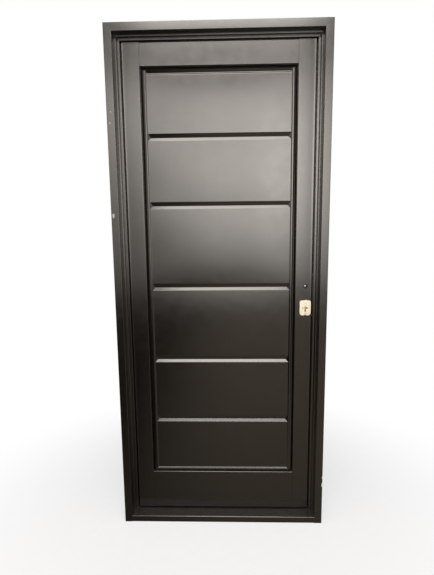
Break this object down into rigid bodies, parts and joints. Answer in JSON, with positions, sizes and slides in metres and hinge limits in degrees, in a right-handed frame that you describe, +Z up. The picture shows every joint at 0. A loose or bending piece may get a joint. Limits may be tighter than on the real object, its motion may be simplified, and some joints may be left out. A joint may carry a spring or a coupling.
{
  "type": "panelled steel front door",
  "caption": "Black pressed-steel front door hung in its folded, stepped steel frame, with a raised rim and cross grooves, a mortice lock with a key plate, and inside hinges.",
  "frame": {"origin": "on the floor, in the middle of the footprint of the frame and its hinges", "axes": "+Z up, +X across the opening towards the lock, +Y from outside to inside"},
  "size_m": [0.86, 0.1264, 2.05],
  "materials": {
    "black_paint": "satin black paint, slightly brown, with small chips",
    "seal_rubber": "matte black rubber",
    "zinc_steel": "zinc-plated steel",
    "nickel_plate": "pale warm nickel plate",
    "brass": "plain brass"
  },
  "bodies": {
    "frame": {"hinge_jamb": "black_paint", "lock_jamb": "black_paint", "head": "black_paint", "threshold": "black_paint", "wall_straps": "zinc_steel", "seal_hinge_side": "seal_rubber", "seal_lock_side": "seal_rubber", "seal_head": "seal_rubber", "strike_plate": "black_paint", "strike_screws": "zinc_steel", "strike_box": "zinc_steel", "hinge_low_frame_half": "black_paint", "hinge_mid_frame_half": "black_paint", "hinge_high_frame_half": "black_paint", "hinge_low_pin": "zinc_steel", "hinge_mid_pin": "zinc_steel", "hinge_high_pin": "zinc_steel", "hinge_low_washer": "brass", "hinge_mid_washer": "brass", "hinge_high_washer": "brass"},
    "leaf": {"hinge_low_leaf_half": "black_paint", "hinge_mid_leaf_half": "black_paint", "hinge_high_leaf_half": "black_paint", "hinge_stile": "black_paint", "lock_stile": "black_paint", "top_rail": "black_paint", "bottom_rail": "black_paint", "stile_caps": "black_paint", "outer_panel": "black_paint", "inner_panel": "black_paint", "lock_case": "zinc_steel", "lock_cover": "zinc_steel", "cover_screws": "zinc_steel", "lock_forend": "zinc_steel", "forend_tabs": "zinc_steel", "forend_screws": "zinc_steel", "key_pin": "nickel_plate", "latch_spring": "zinc_steel", "outer_key_plate": "nickel_plate", "inner_key_plate": "nickel_plate", "key_plate_screws": "brass"},
    "latch": {"latch_bolt": "zinc_steel"},
    "deadbolt": {"deadbolt": "nickel_plate"},
    "follower": {"spindle_follower": "zinc_steel"}
  },
  "joints": [
    {"name": "leaf_swing", "type": "hinge", "parent": "frame", "child": "leaf", "pos_m": [-0.392, 0.05525, 1.02], "axis": [0, 0, 1], "range_deg": [0, 110]},
    {"name": "follower_turn", "type": "hinge", "parent": "leaf", "child": "follower", "pos_m": [0.351, 0.01325, 1.037], "axis": [0, -1, 0], "range_deg": [0, 40]},
    {"name": "latch_slide", "type": "slide", "parent": "leaf", "child": "latch", "axis": [1, 0, 0], "range_m": [-0.011, 0], "stiffness_N_per_m": 400, "springref_m": 0.01, "deforming": ["latch_spring"]},
    {"name": "deadbolt_throw", "type": "slide", "parent": "leaf", "child": "deadbolt", "axis": [1, 0, 0], "range_m": [0, 0.02]}
  ],
  "couplings": [
    {"joint": "follower_turn", "follows": "latch_slide", "rad_per_m": -63.467}
  ]
}
